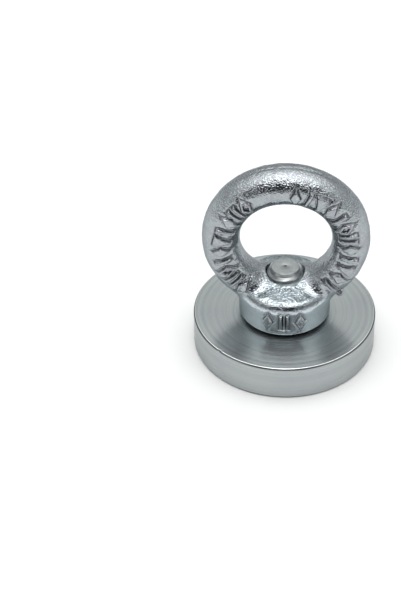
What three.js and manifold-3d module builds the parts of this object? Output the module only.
// A magnet fishing magnet: a steel pot that holds a ring magnet, with an eye nut for the rope
// screwed to its back.
//
// Millimetres. The origin is the centre of the pot's working face, and +Z runs up the screw's axis.
// The eye stands in the XZ plane, so that the rope runs through it along Y. Everything is drawn with
// the eye nut screwed home.
import * as THREE from "three";
import { mergeVertices } from "three/addons/utils/BufferGeometryUtils.js";
import Module from "manifold-3d";

const wasm = await Module();
wasm.setup();

// ------------------------------------------------------------------------------------------------
// Driving dimensions
// ------------------------------------------------------------------------------------------------

// The steel pot: a cup with a central boss, open downwards.
const potDiameter = 40;
const potHeight = 8;
const potWall = 3.1; // the cup's side
const potBack = 2.8; // the plate over the magnet
const potBossDiameter = 20.4; // the pole round the screw
const potTopChamfer = 0.35;
const potRimChamfer = 0.25;

// The ring magnet and what bonds it into the pot.
const resinWidth = 0.5; // the resin ring on each side of the magnet
const resinRecess = 0.45; // how far the resin stops short of the working face
const magnetRecess = 0.2; // how far the magnet's face lies inside the rim
const magnetChamfer = 0.3;
const bondFilmThickness = 0.2;
const bondGap = 0.05; // between a bonded piece and its neighbour

// The M8 x 1.25 thread that the screw and the eye nut share.
const threadDiameter = 8;
const threadPitch = 1.25;
const threadRadialGap = 0.12; // crest to root
const threadAxialGap = 0.08; // flank to flank
const threadCrestEase = 0.03; // taken off the nut's crests
const threadRootSink = 0.12; // how deep a ridge is rooted in its core
const externalRootDepth = 0.6134; // the ISO form's depths below the crest of the screw, in pitches
const internalCrestDepth = 0.5413;
const crestHalfWidth = 1 / 16; // in pitches

// The countersunk socket screw.
const screwLength = 20; // over all, head included
const screwHeadDiameter = 16;
const screwHeadLand = 0.4; // the straight edge of the head
const screwHeadRecess = 0.15; // how far the head lies inside the working face
const screwShankUndersize = 0.1; // of the plain length's radius, under the thread's
const screwShankLength = 1.6; // from the cone to the first thread
const screwTipChamfer = 1.15; // from the crest of the thread to the flat tip, at 45 degrees
const socketAcrossFlats = 5;
const socketDepth = 2.6;
const screwHoleGap = 0.2; // between the screw and the pot's countersink and hole

// The toothed lock washer.
const washerDiameter = 15;
const washerBoreGap = 0.25; // between the washer and the thread
const washerToothLength = 1.6;
const washerThickness = 0.8;
const washerTeeth = 12;
const washerToothTip = 0.5; // a tooth's width at its tip and root, as shares of a tooth's step
const washerToothRoot = 0.74;
const seatGap = 0.02; // between the pot, the washer and the nut, which press on each other

// The eye nut: a round collar with a forged ring on it.
const collarDiameter = 20;
const collarSideHeight = 5.5; // the straight side, below the rounded edge
const collarEdgeRadius = 2.5;
const collarTopSlope = 21; // degrees, down from the bore to the rounded edge
const collarBaseChamfer = 0.3;
const eyeOuterDiameter = 36;
const eyeInnerDiameter = 19.5;
const eyeThickness = 9.4; // along the rope
const eyeCentreRise = 19.25; // from the nut's seat to the middle of the eye
const boreChamfer = 0.15; // how far the bore's mouths open beyond the thread

// How finely the round faces are faceted. The screw and the nut's bore have the thread's number.
const potFacets = 64;
const ringFacets = 48;
const sectionFacets = 16;
const edgeFacets = 4; // over the collar's rounded edge
const threadFacets = 24;

// ------------------------------------------------------------------------------------------------
// Derived places
// ------------------------------------------------------------------------------------------------

const potRadius = potDiameter / 2;
const channelOuterRadius = potRadius - potWall;
const channelInnerRadius = potBossDiameter / 2;
const channelDepth = potHeight - potBack;

const magnetOuterRadius = channelOuterRadius - resinWidth;
const magnetInnerRadius = channelInnerRadius + resinWidth;
const magnetTop = channelDepth - bondFilmThickness - 2 * bondGap;

const threadRadius = threadDiameter / 2;
const threadFlankSlope = Math.tan(Math.PI / 6); // a 60 degree thread
const screwCoreRadius = threadRadius - externalRootDepth * threadPitch;
const nutCoreRadius = threadRadius - internalCrestDepth * threadPitch + threadCrestEase;

const headTop = screwHeadRecess + screwHeadLand;
const screwHeadRadius = screwHeadDiameter / 2;
const shankRadius = threadRadius - screwShankUndersize;
const coneTop = headTop + screwHeadRadius - shankRadius; // the head's cone is at 45 degrees
const threadStart = coneTop + screwShankLength;
const screwTip = screwHeadRecess + screwLength;

const washerSeat = potHeight + seatGap;
const nutSeat = washerSeat + washerThickness + seatGap;
const boreMouthRadius = threadRadius + threadRadialGap + boreChamfer;
const collarRadius = collarDiameter / 2;
const collarSlope = THREE.MathUtils.degToRad(collarTopSlope);
const collarEdgeArc = Math.PI / 2 - collarSlope;
const collarConeRadius = collarRadius - collarEdgeRadius * (1 - Math.cos(collarEdgeArc));
const collarConeBase = nutSeat + collarSideHeight + collarEdgeRadius * Math.sin(collarEdgeArc);
const collarTop = collarConeBase + (collarConeRadius - boreMouthRadius) * Math.tan(collarSlope);
const eyeCentre = nutSeat + eyeCentreRise;
const eyeMeanRadius = (eyeOuterDiameter + eyeInnerDiameter) / 4;
const eyeBarRadius = (eyeOuterDiameter - eyeInnerDiameter) / 4;

// ------------------------------------------------------------------------------------------------
// Solids
// ------------------------------------------------------------------------------------------------

const mergeDistance = 1e-4;
const overshoot = 1; // how far a cutter runs past the faces it cuts through

// A closed three.js geometry as a solid that can be joined and cut.
function solidOf(geometry) {
  geometry.deleteAttribute("normal");
  geometry.deleteAttribute("uv");
  const merged = mergeVertices(geometry, mergeDistance);
  const mesh = new wasm.Mesh({
    numProp: 3,
    vertProperties: merged.attributes.position.array,
    triVerts: new Uint32Array(merged.index.array),
  });
  return new wasm.Manifold(mesh);
}

// A finished solid as a three.js geometry.
function geometryOf(solid) {
  const mesh = solid.getMesh();
  const geometry = new THREE.BufferGeometry();
  geometry.setAttribute("position", new THREE.BufferAttribute(mesh.vertProperties, 3));
  geometry.setIndex(new THREE.BufferAttribute(mesh.triVerts, 1));
  geometry.computeVertexNormals();
  return geometry;
}

// A solid turned about Z. Its [radius, height] points run up the outside and back down the inside
// or the axis.
function turned(points, facets) {
  const outline = points.map(([radius, height]) => new THREE.Vector2(radius, height));
  return solidOf(new THREE.LatheGeometry(outline, facets).rotateX(Math.PI / 2));
}

// A flat ring about Z, with both of its bottom edges chamfered.
function flatRing(innerRadius, outerRadius, bottom, top, chamfer = 0) {
  return turned(
    [
      [innerRadius + chamfer, bottom],
      [outerRadius - chamfer, bottom],
      [outerRadius, bottom + chamfer],
      [outerRadius, top],
      [innerRadius, top],
      [innerRadius, bottom + chamfer],
      [innerRadius + chamfer, bottom],
    ],
    ringFacets,
  );
}

// The axis of a thread, whose frames turn once for each pitch climbed, from one whole turn to another.
// A section with x along the axis and y away from it, extruded along this line, sweeps out a
// right-hand helical ridge.
class ThreadAxis extends THREE.LineCurve3 {
  constructor(firstTurn, lastTurn) {
    const start = new THREE.Vector3(0, 0, firstTurn * threadPitch);
    const end = new THREE.Vector3(0, 0, lastTurn * threadPitch);
    super(start, end);
    this.turns = lastTurn - firstTurn;
  }

  computeFrenetFrames(steps) {
    const frames = { tangents: [], normals: [], binormals: [] };
    for (let step = 0; step <= steps; step++) {
      const angle = (2 * Math.PI * this.turns * step) / steps;
      const outward = new THREE.Vector3(Math.cos(angle), Math.sin(angle), 0);
      const along = new THREE.Vector3(0, 0, 1);
      frames.normals.push(along);
      frames.binormals.push(outward);
      frames.tangents.push(new THREE.Vector3().crossVectors(along, outward));
    }
    return frames;
  }
}

// A helical ridge between two heights, rounded out to whole turns. The gaps widen it into the tool
// for a nut.
function threadRidge(coreRadius, bottom, top, radialGap = 0, axialGap = 0) {
  const crestWidth = crestHalfWidth * threadPitch + axialGap;
  const halfWidthAt = (radius) => crestWidth + (threadRadius - radius) * threadFlankSlope;
  const root = coreRadius - threadRootSink;
  const crest = threadRadius + radialGap;
  const section = new THREE.Shape([
    new THREE.Vector2(-halfWidthAt(root), root),
    new THREE.Vector2(halfWidthAt(root), root),
    new THREE.Vector2(halfWidthAt(crest), crest),
    new THREE.Vector2(-halfWidthAt(crest), crest),
  ]);
  const axis = new ThreadAxis(Math.floor(bottom / threadPitch), Math.ceil(top / threadPitch));
  const steps = axis.turns * threadFacets;
  return solidOf(new THREE.ExtrudeGeometry(section, { steps, extrudePath: axis }));
}

// ------------------------------------------------------------------------------------------------
// Pieces
// ------------------------------------------------------------------------------------------------

// The cup, turned in one piece with its boss, then countersunk and drilled for the screw.
function pot() {
  const body = turned(
    [
      [0, 0],
      [channelInnerRadius, 0],
      [channelInnerRadius, channelDepth],
      [channelOuterRadius, channelDepth],
      [channelOuterRadius, 0],
      [potRadius - potRimChamfer, 0],
      [potRadius, potRimChamfer],
      [potRadius, potHeight - potTopChamfer],
      [potRadius - potTopChamfer, potHeight],
      [0, potHeight],
    ],
    potFacets,
  );
  const holeRadius = threadRadius + screwHoleGap;
  const countersinkRadius = screwHeadRadius + screwHoleGap;
  const countersink = turned(
    [
      [0, -overshoot],
      [countersinkRadius, -overshoot],
      [countersinkRadius, headTop],
      [holeRadius, headTop + countersinkRadius - holeRadius],
      [holeRadius, potHeight + overshoot],
      [0, potHeight + overshoot],
    ],
    ringFacets,
  );
  return body.subtract(countersink);
}

function ringMagnet() {
  return flatRing(magnetInnerRadius, magnetOuterRadius, magnetRecess, magnetTop, magnetChamfer);
}

// The adhesive between the magnet's back and the pot.
function bondFilm() {
  const bottom = magnetTop + bondGap;
  return flatRing(magnetInnerRadius, magnetOuterRadius, bottom, bottom + bondFilmThickness);
}

// The resin that fills the channel on one side of the magnet.
function resinRing(innerRadius, outerRadius) {
  return flatRing(innerRadius + bondGap, outerRadius - bondGap, resinRecess, magnetTop);
}

// The head, cone and shank are turned, the socket is broached, and the thread is trimmed to a
// chamfered tip.
function countersunkScrew() {
  const tipRadius = threadRadius - screwTipChamfer;
  const body = turned(
    [
      [0, screwHeadRecess],
      [screwHeadRadius, screwHeadRecess],
      [screwHeadRadius, headTop],
      [shankRadius, coneTop],
      [shankRadius, threadStart],
      [screwCoreRadius, threadStart],
      [screwCoreRadius, screwTip - screwCoreRadius + tipRadius],
      [tipRadius, screwTip],
      [0, screwTip],
    ],
    threadFacets,
  );
  const trimRadius = threadRadius + overshoot;
  const trim = turned(
    [
      [0, coneTop],
      [screwCoreRadius, coneTop],
      [trimRadius, coneTop + trimRadius - screwCoreRadius],
      [trimRadius, screwTip - trimRadius + tipRadius],
      [tipRadius, screwTip],
      [0, screwTip],
    ],
    threadFacets,
  );
  const ridge = threadRidge(screwCoreRadius, threadStart - threadPitch, screwTip + threadPitch);
  const thread = ridge.intersect(trim);
  const cornerRadius = socketAcrossFlats / 2 / Math.cos(Math.PI / 6);
  const socket = turned(
    [
      [0, -overshoot],
      [cornerRadius, -overshoot],
      [cornerRadius, screwHeadRecess + socketDepth],
      [0, screwHeadRecess + socketDepth + cornerRadius / 2],
    ],
    6,
  );
  return body.add(thread).subtract(socket);
}

// A flat ring with teeth round its rim.
function lockWasher() {
  const tipRadius = washerDiameter / 2;
  const rootRadius = tipRadius - washerToothLength;
  const outline = [];
  const corners = [
    [rootRadius, -washerToothRoot / 2],
    [tipRadius, -washerToothTip / 2],
    [tipRadius, washerToothTip / 2],
    [rootRadius, washerToothRoot / 2],
  ];
  for (let tooth = 0; tooth < washerTeeth; tooth++) {
    for (const [radius, share] of corners) {
      const angle = (2 * Math.PI * (tooth + share)) / washerTeeth;
      outline.push(new THREE.Vector2(radius * Math.cos(angle), radius * Math.sin(angle)));
    }
  }
  const shape = new THREE.Shape(outline);
  shape.holes.push(new THREE.Path().absarc(0, 0, threadRadius + washerBoreGap, 0, 2 * Math.PI, true));
  const settings = { depth: washerThickness, bevelEnabled: false, curveSegments: threadFacets };
  return solidOf(new THREE.ExtrudeGeometry(shape, settings).translate(0, 0, washerSeat));
}

// The ring is a bar of oval section bent round the rope's axis. It stands on the collar, and the bore
// is tapped through both, with its mouths opened out.
function eyeNut() {
  const bar = [];
  for (let i = 0; i <= sectionFacets; i++) {
    const angle = (2 * Math.PI * i) / sectionFacets;
    const radius = eyeMeanRadius + eyeBarRadius * Math.cos(angle);
    bar.push(new THREE.Vector2(radius, (eyeThickness / 2) * Math.sin(angle)));
  }
  const ring = solidOf(new THREE.LatheGeometry(bar, ringFacets).translate(0, 0, eyeCentre));

  const collarProfile = [
    [0, nutSeat],
    [collarRadius - collarBaseChamfer, nutSeat],
    [collarRadius, nutSeat + collarBaseChamfer],
  ];
  for (let i = 0; i <= edgeFacets; i++) {
    const angle = (collarEdgeArc * i) / edgeFacets;
    const inset = collarEdgeRadius * (1 - Math.cos(angle));
    const rise = collarEdgeRadius * Math.sin(angle);
    collarProfile.push([collarRadius - inset, nutSeat + collarSideHeight + rise]);
  }
  collarProfile.push([0, collarTop + boreMouthRadius * Math.tan(collarSlope)]);
  const collar = turned(collarProfile, ringFacets);

  const mouthDepth = boreMouthRadius - nutCoreRadius; // the mouths open at 45 degrees
  const bore = turned(
    [
      [0, nutSeat - overshoot],
      [boreMouthRadius + overshoot, nutSeat - overshoot],
      [nutCoreRadius, nutSeat + mouthDepth],
      [nutCoreRadius, collarTop - mouthDepth],
      [boreMouthRadius, collarTop],
      [boreMouthRadius, eyeCentre],
      [0, eyeCentre],
    ],
    threadFacets,
  );
  const tapStart = nutSeat - threadPitch;
  const tapEnd = collarTop + threadPitch;
  const tap = threadRidge(nutCoreRadius, tapStart, tapEnd, threadRadialGap, threadAxialGap);
  return ring.add(collar).subtract(bore.add(tap));
}

// ------------------------------------------------------------------------------------------------
// The assembly
// ------------------------------------------------------------------------------------------------

const turnedSteel = { color: 0xa3a9aa, roughness: 0.35, metalness: 1 };
const nickel = { color: 0xb9b8b0, roughness: 0.22, metalness: 1 };
const resin = { color: 0x2b2c2e, roughness: 0.45, metalness: 0 };
const zincPlate = { color: 0xb4babd, roughness: 0.4, metalness: 1 };
const springSteel = { color: 0x6f7375, roughness: 0.4, metalness: 1 };

function mesh(name, solid, finish) {
  const made = new THREE.Mesh(geometryOf(solid), new THREE.MeshStandardMaterial(finish));
  made.name = name;
  return made;
}

const magnetAssembly = new THREE.Group();
magnetAssembly.add(
  mesh("pot", pot(), turnedSteel),
  mesh("ring_magnet", ringMagnet(), nickel),
  mesh("bond_film", bondFilm(), resin),
  mesh("outer_resin_ring", resinRing(magnetOuterRadius, channelOuterRadius), resin),
  mesh("inner_resin_ring", resinRing(channelInnerRadius, magnetInnerRadius), resin),
  mesh("countersunk_screw", countersunkScrew(), zincPlate),
);

const rigging = new THREE.Group();
rigging.add(mesh("lock_washer", lockWasher(), springSteel), mesh("eye_nut", eyeNut(), zincPlate));

const fishingMagnet = new THREE.Group();
fishingMagnet.add(magnetAssembly, rigging);

export default fishingMagnet;
